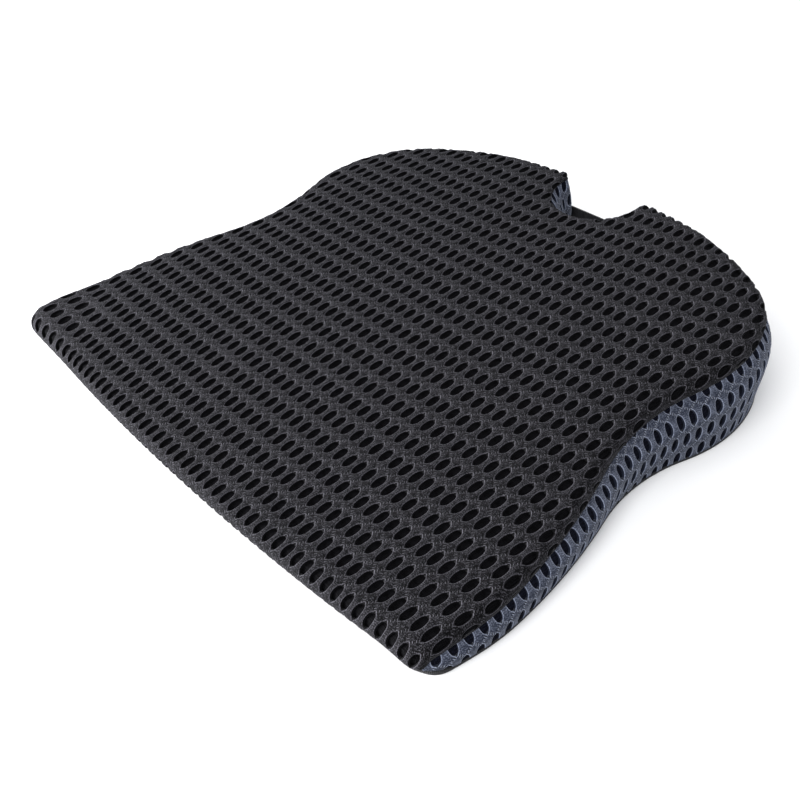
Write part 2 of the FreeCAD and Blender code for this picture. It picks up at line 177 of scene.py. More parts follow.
def tuck(s):
    """How far the bottom seam lies inside the underside's outline."""
    return HEM_INSET + NOSE_TUCK * (1.0 - smooth(past_nose(s) / TUCK_BLEND))


def squash(from_seam):
    """Share of its thickness that the mesh keeps at a distance from its seam."""
    return SEAM_SQUASH + (1 - SEAM_SQUASH) * smooth(from_seam / SQUASH_REACH)


def outward(heading):
    """Level unit vectors that point out of an outline."""
    return np.stack([np.sin(heading), -np.cos(heading), 0 * heading], -1)


def between(values):
    """Means of the neighbours in each row."""
    return (values[:, 1:] + values[:, :-1]) / 2


def look_up(table, down, across):
    """Value of a table between its rows and columns, at shares 0 to 1 down and across it."""
    rows, columns = table.shape
    i = np.clip(down * (rows - 1), 0, rows - 1 - 1e-6)
    k = np.clip(across * (columns - 1), 0, columns - 1 - 1e-6)
    i0, k0 = i.astype(int), k.astype(int)
    low, right = i - i0, k - k0
    return ((1 - low) * ((1 - right) * table[i0, k0] + right * table[i0, k0 + 1])
            + low * ((1 - right) * table[i0 + 1, k0] + right * table[i0 + 1, k0 + 1]))


class Sections:
    """Cross-sections of the top panel's edge, from the flat top down to the seam."""

    def __init__(self):
        self.s = np.linspace(0, SEAM.length, SECTIONS + 1)
        x, y, heading = SEAM.at(np.minimum(self.s, SEAM.length - 1e-6))
        out_x, out_y = np.sin(heading), -np.cos(heading)
        nose = nose_share(self.s)
        slope_x, slope_y = crown_gradient(x, y)
        first = -np.arctan(slope_x * out_x + slope_y * out_y)
        last = np.radians(SIDE_END + (NOSE_END - SIDE_END) * nose)
        power = 1.0 + (NOSE_POWER - 1.0) * nose
        proud = NOSE_PROUD * nose
        share = np.linspace(0, 1, STEPS)
        self.theta = first[:, None] + (last - first)[:, None] * share ** power[:, None]
        step = 1.0 / (STEPS - 1)
        out, down = np.zeros_like(self.theta), np.zeros_like(self.theta)
        out[:, 1:] = np.cumsum(between(np.cos(self.theta)), 1) * step
        down[:, 1:] = np.cumsum(between(np.sin(self.theta)), 1) * step
        inset = np.full_like(x, INSET_GUESS)
        outside_notch = smooth((abs(self.s - SEAM_MIDDLE) - NOTCH_REACH) / NOTCH_BLEND)
        side_drop = NOTCH_DROP + (SIDE_DROP - NOTCH_DROP) * outside_notch
        for repeat in range(INSET_ROUNDS):
            top = crown(x - inset * out_x, y - inset * out_y)
            drop = side_drop + (top - NOSE_FLOOR - side_drop) * nose
            length = drop / down[:, -1]
            inset = length * out.max(1) - proud
        self.inset, self.length = inset, length
        self.out = out * length[:, None]
        self.down = down * length[:, None]

    def look(self, table, s, share):
        return look_up(table, s / SEAM.length, share)

    def at(self, values, s):
        return np.interp(s, self.s, values)


EDGE = Sections()


def top_surface(x, y, depth):
    """Place flat fabric at plan position x, y over the top and the rolled edge.

    Gives the points, depth mm under the outer face, and which of them lay past the seam."""
    inside, s, heading = SEAM.locate(x, y)
    out_x, out_y = np.sin(heading), -np.cos(heading)
    start, length = EDGE.at(EDGE.inset, s), EDGE.at(EDGE.length, s)
    along = start - inside
    share = np.clip(along / length, 0, 1)
    rolled = along > 0
    foot_x, foot_y = x + out_x * inside, y + out_y * inside
    begin_x, begin_y = foot_x - out_x * start, foot_y - out_y * start
    reach, drop = EDGE.look(EDGE.out, s, share), EDGE.look(EDGE.down, s, share)
    theta = EDGE.look(EDGE.theta, s, share)
    px = np.where(rolled, begin_x + out_x * reach, x)
    py = np.where(rolled, begin_y + out_y * reach, y)
    pz = np.where(rolled, crown(begin_x, begin_y) - drop, crown(x, y))
    slope_x, slope_y = crown_gradient(x, y)
    size = np.sqrt(1 + slope_x ** 2 + slope_y ** 2)
    nx = np.where(rolled, out_x * np.sin(theta), -slope_x / size)
    ny = np.where(rolled, out_y * np.sin(theta), -slope_y / size)
    nz = np.where(rolled, np.cos(theta), 1 / size)
    depth = depth * squash(length - along)
    points = np.stack([px - nx * depth, py - ny * depth, pz - nz * depth], -1)
    return points, along > length


# ------------------------ side band

BAND_FLOOR = 1.2         # height of the seam with the bottom panel
BAND_LOWEST = 0.6        # nothing of the band lies lower
BAND_LEAST = 0.3         # least height of the band from seam to seam
BAND_HEAD = -0.6         # the band starts inside the crease of the top seam
BAND_SEAM_DROP = 0.3     # and just under the top panel's edge
# How the band's widest place changes along the seam: distance along the seam, how far it
# stands out past both edges, and how far down the band it is.
BAND_SHAPE = [(235.0, 0.5, 0.5), (290.0, 1.8, 0.5), (350.0, 3.2, 0.42), (410.0, 2.2, 0.4),
              (460.0, 2.4, 0.32), (520.0, 2.0, 0.3), (560.0, 0.3, 0.3), (600.0, 0.5, 0.35),
              (640.0, 0.0, 0.5), (700.0, 0.0, 0.5), (712.0, 4.5, 0.45), (740.0, 4.5, 0.45),
              (780.0, 2.5, 0.5)]


def seam_height(s):
    """Height of the top seam at distance s along it."""
    x, y, heading = SEAM.at(s)
    start = EDGE.at(EDGE.inset, s)
    top = crown(x - np.sin(heading) * start, y + np.cos(heading) * start)
    return top - EDGE.look(EDGE.down, s, np.ones_like(s)) - BAND_SEAM_DROP


class Band:
    """Cross-sections of the right side band, from the top seam down to the bottom seam."""

    def __init__(self):
        self.s = np.linspace(0, SEAM_MIDDLE, SECTIONS + 1)
        x, y, heading = SEAM.at(self.s)
        height = np.maximum(seam_height(self.s) - BAND_FLOOR, BAND_LEAST)
        foot = FOOT.locate(x, y)[0] + HEM_INSET - tuck(self.s)
        place, proud, level = np.array(BAND_SHAPE).T
        proud = np.interp(self.s, place, proud)
        level = np.interp(self.s, place, level)[:, None]
        peak = np.maximum(foot, BAND_HEAD) + proud
        share = np.linspace(0, 1, STEPS)[None, :]
        rise = np.sin(math.pi / 2 * np.clip(share / level, 0, 1))
        fall = np.cos(math.pi / 2 * np.clip((share - level) / (1 - level), 0, 1))
        upper = BAND_HEAD + (peak[:, None] - BAND_HEAD) * rise
        lower = foot[:, None] + (peak - foot)[:, None] * fall
        out = np.where(share < level, upper, lower)
        z = BAND_FLOOR + height[:, None] * (1 - share)
        steps = np.hypot(np.diff(out, axis=1), np.diff(z, axis=1))
        walk = np.hstack([np.zeros((len(x), 1)), np.cumsum(steps, axis=1)])
        self.length = walk[:, -1]
        even = np.linspace(0, 1, STEPS)
        self.out = np.array([np.interp(even * w[-1], w, o) for w, o in zip(walk, out)])
        self.z = np.array([np.interp(even * w[-1], w, o) for w, o in zip(walk, z)])
        self.lean_out = np.gradient(self.out, axis=1)
        self.lean_z = np.gradient(self.z, axis=1)

    def look(self, table, s, share):
        return look_up(table, s / SEAM_MIDDLE, share)


BAND = Band()


def band_surface(s, below, depth):
    """Place the side band at distance s along the seam and below mm of cloth under the seam."""
    x, y, heading = SEAM.at(s)
    out_x, out_y = np.sin(heading), -np.cos(heading)
    length = np.interp(s, BAND.s, BAND.length)
    past = (below < 0) | (below > length)
    share = np.clip(below / length, 0, 1)
    out, z = BAND.look(BAND.out, s, share), BAND.look(BAND.z, s, share)
    lean_out, lean_z = BAND.look(BAND.lean_out, s, share), BAND.look(BAND.lean_z, s, share)
    size = np.hypot(lean_out, lean_z)
    depth = depth * squash(np.minimum(below, length - below))
    out = out + depth * lean_z / size
    z = np.maximum(z - depth * lean_out / size, BAND_LOWEST)
    return np.stack([x + out_x * out, y + out_y * out, z], -1), past


# ------------------------ mesh fabric with oval holes

HOLE_PITCH = 9.3         # across the width
ROW_PITCH = 16.96        # every second row is shifted by half a hole pitch
BAND_PITCH = 9.65        # the side bands' fabric has other measures
BAND_ROW_PITCH = 13.8
# The measures of each fabric: both pitches, and the half width and half length of one hole.
TOP_HOLES = (HOLE_PITCH, ROW_PITCH, 2.95, 5.6)
BAND_HOLES = (BAND_PITCH, BAND_ROW_PITCH, 2.7, 4.9)
HOLE_ROUNDNESS = 0.9     # under 1 the holes are a little squarer than ellipses
RIM_WIDTH = 0.6
RIM_RISE = 0.22          # the rim stands proud, and its inner edge lies lower
EDGE_DROP = 0.22
WALL_LEAN = 0.15         # the walls of a hole lean in, and end just behind the backing
WALL_OVERLAP = 0.1
SEAM_SQUASH = 0.35       # share of its thickness that the mesh keeps at a seam
SQUASH_REACH = 9.0       # and how far from the seam it is squashed
FABRIC_DEPTH = 1.7       # from the outer face down to the backing
RING_POINTS = 24         # points round a hole, six along each side of its cell


def full_turn(count):
    """Angles of count points round a full turn."""
    return TURN * np.arange(count) / count


def drawn_circle(angle, power):
    """Cosine and sine of an angle, drawn out towards a square by a power under 1."""
    ca, sa = np.cos(angle), np.sin(angle)
    return np.sign(ca) * abs(ca) ** power, np.sign(sa) * abs(sa) ** power


def grid_quads(wide, tall):
    """Faces of a grid of points with wide points in each of its rows."""
    corner = (np.arange(tall - 1)[:, None] * wide + np.arange(wide - 1)[None, :]).ravel()
    return np.stack([corner, corner + 1, corner + wide + 1, corner + wide], -1)


def ring_of_cell(pitch, row_pitch, half_width, half_length):
    """One cell round one hole: rings of (across, along, depth), from the cell's edge inwards."""
    sixth = np.arange(7) / 6 - 0.5
    edge = ([(0.5, q) for q in sixth[3:]] + [(p, 0.5) for p in sixth[-2::-1]]
            + [(-0.5, q) for q in sixth[-2::-1]] + [(p, -0.5) for p in sixth[1:]]
            + [(0.5, q) for q in sixth[1:3]])
    across, along = drawn_circle(full_turn(RING_POINTS), HOLE_ROUNDNESS)

    def oval(grow, depth):
        return np.stack([(half_width + grow) / pitch * across,
                         (half_length + grow) / row_pitch * along,
                         np.full(RING_POINTS, depth)], -1)

    edge = np.column_stack([np.array(edge), np.zeros(RING_POINTS)])
    return np.stack([edge, oval(RIM_WIDTH, -RIM_RISE), oval(0.0, EDGE_DROP),
                     oval(-WALL_LEAN, FABRIC_DEPTH + WALL_OVERLAP)])


def lattice(columns, rows, cell):
    """Holed fabric: u, w and depth of each vertex, the faces, and each face corner's cell."""
    centres = np.array([(k + 0.5 * (j % 2), j) for j in range(*rows) for k in range(*columns)])
    u = centres[:, None, None, 0] + cell[None, :, :, 0]
    w = centres[:, None, None, 1] + cell[None, :, :, 1]
    depth = np.broadcast_to(cell[None, :, :, 2], u.shape)
    count, rings, points = u.shape
    index = np.arange(u.size).reshape(u.shape)
    sixths = np.round(np.stack([u[:, 0], w[:, 0]], -1) * 6).astype(int).reshape(-1, 2)
    first, inverse = np.unique(sixths, axis=0, return_index=True, return_inverse=True)[1:]
    index[:, 0] = index[:, 0].ravel()[first][inverse].reshape(count, points)
    near, far = index[:, :-1], index[:, 1:]
    quads = np.stack([near, np.roll(near, -1, 2), np.roll(far, -1, 2), far], -1).reshape(-1, 4)
    local = np.broadcast_to(cell, (count,) + cell.shape)
    a, b = local[:, :-1], local[:, 1:]
    corners = np.stack([a, np.roll(a, -1, 2), np.roll(b, -1, 2), b], -2).reshape(-1, 4, 3)
    return u.ravel(), w.ravel(), depth.ravel(), quads, corners


def holed_panel(name, columns, rows, cell, place, mirrored=False):
    """Cut holed fabric to the outline of its panel and lay it in place."""
    u, w, depth, quads, corners = lattice(columns, rows, cell)
    points, past = place(u, w, depth)
    kept = ~past[quads].all(1)
    return mesh_object(name, points, quads[kept], corners=corners[kept], mirrored=mirrored)


def backing_panel(name, columns, rows, place, fineness, mirrored=False):
    """The closed inner face of the same fabric."""
    u = np.arange(columns[0] * fineness, columns[1] * fineness + 1) / fineness
    w = np.arange(rows[0] * fineness, rows[1] * fineness + 1) / fineness
    gu, gw = np.meshgrid(u, w)
    points, past = place(gu.ravel(), gw.ravel(), np.full(gu.size, FABRIC_DEPTH))
    quads = grid_quads(len(u), len(w))
    quads = quads[~past[quads].all(1)]
    flat = np.stack([gu.ravel(), gw.ravel(), np.zeros(gu.size)], -1)
    return mesh_object(name, points, quads, corners=flat[quads], mirrored=mirrored)


# Where the soft cover is drawn out of symmetry: centre x, y, radius of the area, shift x, y, and
# the height over the floor at which the shift is complete.
COVER_PULLS = [(-226.0, -194.0, 66.0, -17.0, -1.0, 0.0), (218.0, -196.0, 34.0, 1.0, -2.0, 0.0),
               (188.0, 138.0, 85.0, 3.0, 1.5, 42.0)]
SOFT_MOVES = None        # once the cover is filled: a tree of the shell's points, and their moves
NEAREST = 4              # shell points whose moves a cover point follows
NEAR_SOFTNESS = 0.5


def settle(points):
    """Draw the points of a cover piece to where its fabric is pulled and pushed."""
    points = np.array(points, float)
    for x, y, radius, shift_x, shift_y, height in COVER_PULLS:
        near = smooth(1 - np.hypot(points[:, 0] - x, points[:, 1] - y) / radius)
        if height:
            near = near * smooth(points[:, 2] / height)
        points[:, 0] += shift_x * near
        points[:, 1] += shift_y * near
    if SOFT_MOVES is None:
        return points
    tree, moves = SOFT_MOVES
    for place, point in enumerate(points):
        near = tree.find_n(point, NEAREST)
        weights = np.array([1 / (distance + NEAR_SOFTNESS) for _, _, distance in near])
        points[place] += weights @ moves[[index for _, index, _ in near]] / weights.sum()
    return points


def add_object(name, data):
    obj = bpy.data.objects.new(name, data)
    bpy.context.scene.collection.objects.link(obj)
    return obj


def mesh_object(name, points, faces, corners=None, mirrored=False, cover=True):
    """A mesh from points in mm. corners is one vector per face corner, kept as 'cell'."""
    used, inverse = np.unique(np.asarray(faces).ravel(), return_inverse=True)
    points = np.asarray(points)[used]
    faces = inverse.reshape(np.shape(faces))
    if mirrored:
        points = points * (-1, 1, 1)
        faces = faces[:, ::-1]
        corners = None if corners is None else corners[:, ::-1]
    points = (settle(points) if cover else points) * MM
    mesh = bpy.data.meshes.new(name)
    mesh.from_pydata(points, [], faces)
    if corners is not None:
        layer = mesh.attributes.new("cell", "FLOAT_VECTOR", "CORNER")
        layer.data.foreach_set("vector", np.ascontiguousarray(corners, np.float32).ravel())
    mesh.validate()
    mesh.shade_smooth()
    return add_object(name, mesh)


FABRIC_CENTRE_X = -15.7  # place of the hole from which the others are counted
FABRIC_CENTRE_Y = -44.8
ROW_SHRINK = 0.99        # the top slopes, so rows are closer in plan
ROW_WIDENS = 4.4e-5      # per mm towards the rear
ROW_TILT = 0.0045        # the rows drift forwards to the right
COLUMN_SKEW = 0.0208     # and the columns to the left
HOLES_SPREAD = 1.37e-4   # per mm towards the rear
HOLES_GATHER = 1.16e-6   # and per square mm away from the middle


def top_place(u, w, depth):
    """The top panel's fabric lies slightly askew, and tightens towards the front and rear."""
    v = w * ROW_PITCH
    stretch = 1 + HOLES_SPREAD * v - HOLES_GATHER * v * v
    x = FABRIC_CENTRE_X + u * HOLE_PITCH * stretch - COLUMN_SKEW * v
    y = FABRIC_CENTRE_Y + ROW_SHRINK * v * (1 + ROW_WIDENS * v) - ROW_TILT * u * HOLE_PITCH
    return top_surface(x, y, depth)


BAND_FIRST_HOLE = 241.0  # along the seam
BAND_LATE = 2.0          # the band's mesh begins where its seam has risen a little
BAND_BEGIN = SEAM.corner_start + GUSSET_BEGIN + BAND_LATE
# The first row of holes: distance along the seam, mm of cloth below it.
BAND_ROW_LINE = [(200.0, -0.6), (270.0, 0.2), (300.0, 2.6), (390.0, 9.0), (470.0, 13.6),
                 (540.0, 16.2), (620.0, 17.2), (790.0, 17.2)]


def band_place(u, w, depth):
    """The band's fabric follows the seam, and its rows fall away from the seam to the rear."""
    s = BAND_FIRST_HOLE + u * BAND_PITCH
    outside = (s < BAND_BEGIN) | (s > SEAM_MIDDLE)
    s = np.clip(s, BAND_BEGIN, SEAM_MIDDLE)
    place, line = np.array(BAND_ROW_LINE).T
    points, past = band_surface(s, np.interp(s, place, line) + w * BAND_ROW_PITCH, depth)
    return points, past | outside


# ------------------------ filling of the cover

PLAN_HALF_WIDTH = 234.0  # grids reach past every outline
PLAN_HALF_DEPTH = 210.0
CORE_SPACING = 6.0
CORE_ROUNDING = 11.0     # radius of the upper edges
CORE_ROUNDED = 0.8       # but no more than this share of the height
ZIP_MIDDLE = 105.0
ZIP_REACH = 198.0        # the filling lies clear of the zipper, this far from the middle,
ZIP_HALF_DEPTH = 15.0    # this far to the front and rear,
ZIP_CLEARANCE = 5.2      # and this high
ZIP_RAMP = 8.0           # distance over which it comes down again


def spread(low, high, spacing):
    """Places from low to high, about spacing apart."""
    return np.linspace(low, high, int(round((high - low) / spacing)) + 1)


def core_solid(name, inset, floor):
    """A closed wedge inside the cover, with rounded upper edges, inset mm inside the seam."""
    lines_x = spread(-PLAN_HALF_WIDTH, PLAN_HALF_WIDTH, CORE_SPACING)
    lines_y = spread(-PLAN_HALF_DEPTH, PLAN_HALF_DEPTH, CORE_SPACING)
    gx, gy = (grid.ravel() for grid in np.meshgrid(lines_x, lines_y))
    inside, along, heading = SEAM.locate(gx, gy)
    inside = inside - inset
    px, py = np.stack([gx, gy]) + outward(heading).T[:2] * np.minimum(inside, 0)
    close = np.clip(1 - np.maximum(inside, 0) / CORE_ROUNDING, 0, 1)
    top = crown(px, py) - inset
    rounding = np.minimum(CORE_ROUNDING, (top - floor) * CORE_ROUNDED)
    top = top - rounding * (1 - np.sqrt(1 - close ** 2))
    quads = grid_quads(len(lines_x), len(lines_y))
    quads = quads[~(inside[quads] < 0).all(1)]
    upper = np.stack([px, py, top], -1)
    over_zip = (smooth((ZIP_REACH + ZIP_RAMP - abs(px)) / ZIP_RAMP)
                * smooth((ZIP_HALF_DEPTH + ZIP_RAMP - abs(py - ZIP_MIDDLE)) / ZIP_RAMP))
    lower = np.stack([px, py, floor + ZIP_CLEARANCE * over_zip], -1)
    edges = np.concatenate([quads[:, [k, (k + 1) % 4]] for k in range(4)])
    where, counts = np.unique(np.sort(edges, 1), axis=0, return_index=True,
                              return_counts=True)[1:]
    rim = edges[where[counts == 1]]
    walls = np.stack([rim[:, 0] + px.size, rim[:, 1] + px.size, rim[:, 1], rim[:, 0]], -1)
    faces = np.concatenate([quads, quads[:, ::-1] + px.size, walls])
    return mesh_object(name, np.concatenate([upper, lower]), faces)


FILL_PRESSURE = 4.0
FILL_FRAMES = 20
FILL_CAP = 2.2           # the filled cover moves at most this far from its sewn shape
FILL_EASE = 12.0         # and nears that cap gently
CLOTH_SETTINGS = {
    "quality": 5, "mass": 0.1, "tension_stiffness": 20, "compression_stiffness": 20,
    "bending_stiffness": 1.0, "use_pressure": True, "uniform_pressure_force": FILL_PRESSURE,
    "vertex_group_mass": "held", "shrink_min": -0.015,
}
SHELL_FLOOR = 0.6
SHELL_SPACING = 6.0
HELD_HEIGHT = 10.0       # the cover is held by the floor, and behind the strap
HELD_HALF_WIDTH = 112.0
HELD_REAR = 150.0
HELD_STRAP_TOP = 40.0


def even_shell():
    """The cover's closed outer shell, remeshed evenly."""
    shell = core_solid("cover_shell", 0.0, SHELL_FLOOR)
    even = shell.modifiers.new("even", "REMESH")
    even.mode = "VOXEL"
    even.voxel_size = SHELL_SPACING * MM
    bpy.context.view_layer.update()
    done = shell.evaluated_get(bpy.context.evaluated_depsgraph_get())
    mesh = bpy.data.meshes.new_from_object(done)
    shell.modifiers.clear()
    shell.data = mesh
    return shell


def fill_cover():
    """Fill a closed shell of the cover by cloth simulation. Gives its points and their moves."""
    scene = bpy.context.scene
    shell = even_shell()
    mesh = shell.data
    rest = np.empty(len(mesh.vertices) * 3)
    mesh.vertices.foreach_get("co", rest)
    rest = rest.reshape(-1, 3)
    x, y, z = rest.T / MM
    by_strap = (abs(x) < HELD_HALF_WIDTH) & (y > HELD_REAR) & (z < HELD_STRAP_TOP)
    held = shell.vertex_groups.new(name="held")
    held.add(np.flatnonzero((z < HELD_HEIGHT) | by_strap).tolist(), 1.0, "REPLACE")
    cloth = shell.modifiers.new("filling", "CLOTH")
    for key, value in CLOTH_SETTINGS.items():
        setattr(cloth.settings, key, value)
    cloth.settings.effector_weights.gravity = 0
    cloth.collision_settings.use_collision = False
    cloth.point_cache.frame_start, cloth.point_cache.frame_end = 1, FILL_FRAMES
    for number in range(1, FILL_FRAMES + 1):
        scene.frame_set(number)
    done = shell.evaluated_get(bpy.context.evaluated_depsgraph_get()).data
    moved = np.empty(rest.size)
    done.vertices.foreach_get("co", moved)
    moves = (moved.reshape(-1, 3) - rest) / MM
    scene.frame_set(1)
    bpy.data.objects.remove(shell)
    far = np.maximum(np.linalg.norm(moves, axis=1, keepdims=True), 1e-6)
    moves *= FILL_CAP * (1 - np.exp(-far / FILL_EASE)) / far
    tree = KDTree(len(rest))
    for index, point in enumerate(rest / MM):
        tree.insert(point, index)
    tree.balance()
    return tree, moves


SOFT_MOVES = fill_cover()

# ------------------------ materials


class Nodes:
    """Builds one material's node tree. Numbers and sockets mix freely as inputs."""

    def __init__(self, name, roughness=0.9):
        self.material = bpy.data.materials.new(name)
        self.material.use_nodes = True
        self.tree = self.material.node_tree
        self.shader = self.tree.nodes["Principled BSDF"]
        self.surface(Roughness=roughness)

    def feed(self, socket, value):
        if isinstance(value, bpy.types.NodeSocket):
            self.tree.links.new(value, socket)
        else:
            socket.default_value = value

    def feed_all(self, node, inputs):
        for key, value in inputs.items():
            self.feed(node.inputs[key.replace("_", " ")], value)

    def surface(self, **inputs):
        self.feed_all(self.shader, inputs)

    def add(self, kind, settings=(), **inputs):
        node = self.tree.nodes.new(kind)
        for key, value in dict(settings).items():
            setattr(node, key, value)
        self.feed_all(node, inputs)
        return node

    def math(self, operation, *values):
        node = self.add("ShaderNodeMath", {"operation": operation})
        for socket, value in zip(node.inputs, values):
            self.feed(socket, value)
        return node.outputs[0]

    def times(self, first, second):
        return self.math("MULTIPLY", first, second)

    def less(self, first, second):
        return self.math("SUBTRACT", first, second)

    def add_to(self, rest, value, weight):
        """rest, plus the value times its weight."""
        return self.math("MULTIPLY_ADD", value, weight, rest)

    def wave(self, value):
        return self.math("SINE", value)

    def ramp(self, value, low, high):
        """0 below low, 1 above high, smooth between. Swap low and high to reverse it."""
        node = self.add("ShaderNodeMapRange", {"interpolation_type": "SMOOTHSTEP"},
                        Value=value, From_Min=low, From_Max=high)
        return node.outputs["Result"]

    def place(self):
        return self.add("ShaderNodeTexCoord").outputs["Object"]

    def noise(self, scale, detail):
        node = self.add("ShaderNodeTexNoise", Vector=self.place(), Scale=scale, Detail=detail)
        return node.outputs["Fac"]

    def cells(self, scale, randomness=1.0):
        node = self.add("ShaderNodeTexVoronoi", Vector=self.place(), Scale=scale,
                        Randomness=randomness)
        return node.outputs["Distance"]

    def parts(self, vector):
        return self.add("ShaderNodeSeparateXYZ", Vector=vector).outputs

    def colour(self, factor, first, second):
        """Base colour: first where the factor is 0, second where it is 1."""
        node = self.add("ShaderNodeMix", {"data_type": "RGBA"})
        for socket, value in (("Factor", factor), (6, (*first, 1)), (7, (*second, 1))):
            self.feed(node.inputs[socket], value)
        self.surface(Base_Color=node.outputs[2])

    def bump(self, height, distance):
        node = self.add("ShaderNodeBump", Height=height, Distance=distance)
        self.surface(Normal=node.outputs[0])

    def sheen(self, weight, colour, roughness):
        self.surface(Sheen_Weight=weight, Sheen_Tint=(*colour, 1), Sheen_Roughness=roughness)


def scaled(colour, factor):
    """A colour made darker or brighter."""
    return tuple(factor * part for part in colour)


LADDER_STEPS = 5         # eyelets in one ladder
COURSE = 1.25            # height of one row of loops, in mm
WALE = 1.7               # width of one column of loops, in mm
WALE_SHIFT = 1.6         # how far a column shifts its rows, as an angle of their wave
LOOP = 0.00095           # size of one knitted loop, in metres


def ladder(nodes, far_x, far_y, run, rise, half_length):
    """Rungs between the eyelets that run from each end of a hole to the next row's holes."""
    length = math.hypot(run, rise)
    from_end = nodes.less(far_y, half_length)
    aside = nodes.less(nodes.times(from_end, run / length), nodes.times(far_x, rise / length))
    onward = nodes.math("ADD", nodes.times(far_x, run / length),
                        nodes.times(from_end, rise / length))
    step = nodes.wave(nodes.times(onward, TURN * LADDER_STEPS / length))
    return nodes.times(step, nodes.ramp(nodes.math("ABSOLUTE", aside), 0.95, 0.45))


def loops_of_yarn(nodes, across, along):
    """Fine knitted loops: irregular grains, in wavy rows."""
    grain = nodes.ramp(nodes.cells(1 / LOOP, randomness=0.6), 0.65, 0.15)
    column = nodes.wave(nodes.times(across, TURN / WALE))
    zigzag = nodes.math("ADD", nodes.times(along, TURN / COURSE),
                        nodes.times(column, WALE_SHIFT))
    courses = nodes.ramp(nodes.wave(zigzag), -0.7, 0.7)
    return nodes.add_to(nodes.times(grain, 0.65), courses, 0.35)


def mesh_knit(name, dark, light, holes, knit, speckle, sheen, sheen_colour):
    """Knitted spacer mesh: fine loops, raised rims round the holes, ladders between the holes.

    The rims carry a painted highlight, and the walls of the holes carry painted shade that
    darkens with depth. knit and speckle are the contrast of its loops and of its irregular
    patches."""
    nodes = Nodes(name)
    pitch, row_pitch, half_width, half_length = holes
    # Position on the fabric in mm from the centre of the nearest hole, and the depth.
    cell = nodes.parts(nodes.add("ShaderNodeAttribute",
                                 {"attribute_name": "cell"}).outputs["Vector"])
    across, along, depth = nodes.times(cell[0], pitch), nodes.times(cell[1], row_pitch), cell[2]
    far_x, far_y = nodes.math("ABSOLUTE", across), nodes.math("ABSOLUTE", along)
    ratio_x = nodes.math("DIVIDE", across, half_width)
    ratio_y = nodes.math("DIVIDE", along, half_length)
    oval = nodes.math("SQRT", nodes.math("ADD", nodes.times(ratio_x, ratio_x),
                                         nodes.times(ratio_y, ratio_y)))
    rung = ladder(nodes, far_x, far_y, pitch / 2, row_pitch - 2 * half_length, half_length)
    loops = loops_of_yarn(nodes, across, along)
    # Each strand between two holes of one row stands proud, and is more even than the rest.
    strand = nodes.ramp(far_y, half_length + 0.8, half_length * 0.35)
    # rim marks the raised rims round the holes; its layer below paints a highlight on them.
    rim = nodes.times(nodes.ramp(oval, 1.26, 1.04), nodes.ramp(depth, 0.35, 0.0))
    patches = nodes.less(nodes.ramp(nodes.noise(800.0, 1.0), 0.34, 0.66), 0.5)
    patches = nodes.times(patches, nodes.add_to(1.0, strand, -0.7))
    shade = nodes.add_to(0.57, nodes.less(loops, 0.5), knit)
    # The last layer paints shade down the walls of the holes, darker with depth.
    for value, weight in ((patches, speckle), (nodes.noise(900.0, 1.0), 0.25), (strand, 0.14),
                          (rim, 0.62), (rung, -0.9), (nodes.ramp(depth, 0.1, 0.7), -1.6)):
        shade = nodes.add_to(shade, value, weight)
    nodes.colour(nodes.ramp(shade, 0.45, 1.65), dark, light)
    height = nodes.add_to(nodes.times(strand, 0.5), loops, 0.25)
    nodes.bump(nodes.add_to(height, rung, -0.8), 0.0008)
    nodes.sheen(sheen, sheen_colour, 0.45)
    nodes.surface(Specular_IOR_Level=0.08)
    return nodes.material


NET_CELL = 0.0011        # in metres


def fine_net(name, dark, light):
    """The closed inner face of the mesh, a fine net seen through the holes.

    Its colours keep its own hue, but are set far darker than the face fabric's as painted
    shade inside the holes.
    """
    nodes = Nodes(name, 0.95)
    net = nodes.cells(1 / NET_CELL, randomness=0.3)
    nodes.colour(nodes.ramp(net, 0.2, 0.75), light, dark)
    nodes.bump(nodes.ramp(net, 0.7, 0.2), 0.0003)
    nodes.surface(Specular_IOR_Level=0.05)
    return nodes.material


def woven_cloth(name, dark, light, thread):
    """Plain weave of threads, thread metres apart."""
    nodes = Nodes(name, 0.85)
    place = nodes.parts(nodes.place())
    warp, weft = (nodes.wave(nodes.times(place[axis], TURN / thread)) for axis in (0, 1))
    weave = nodes.times(warp, weft)
    shade = nodes.add_to(nodes.times(weave, 0.25), nodes.noise(160.0, 4.0), 0.8)
    nodes.colour(nodes.ramp(shade, 0.1, 0.75), dark, light)
    nodes.bump(weave, 0.00025)
    nodes.sheen(0.15, light, 0.5)
    return nodes.material


def rubber(name, colour):
    nodes = Nodes(name, 0.55)
    cloudy = nodes.noise(400.0, 3.0)
    nodes.colour(cloudy, scaled(colour, 0.6), colour)
    nodes.bump(cloudy, 0.0002)
    return nodes.material


def open_foam(name, dark, light):
    nodes = Nodes(name, 0.95)
    pores = nodes.cells(700.0)
    nodes.colour(nodes.ramp(pores, 0.1, 0.6), dark, light)
    nodes.bump(pores, 0.0006)
    return nodes.material


def dark_metal(name, colour, roughness):
    """Plated zinc with fine scratches and rubbed edges."""
    nodes = Nodes(name)
    wear = nodes.noise(700.0, 4.0)
    nodes.colour(nodes.ramp(wear, 0.45, 0.75), colour, scaled(colour, 1.6))
    nodes.surface(Roughness=nodes.add_to(roughness - 0.1, wear, 0.25), Metallic=0.9)
    nodes.bump(wear, 0.00005)
    return nodes.material


def moulded_nylon(name, colour):
    nodes = Nodes(name, 0.4)
    grain = nodes.noise(1500.0, 2.0)
    nodes.colour(grain, colour, scaled(colour, 1.5))
    nodes.bump(grain, 0.00005)
    return nodes.material


RIB = 0.0016             # distance between the strap's ribs, and between its yarns, in metres
YARN = 0.0012


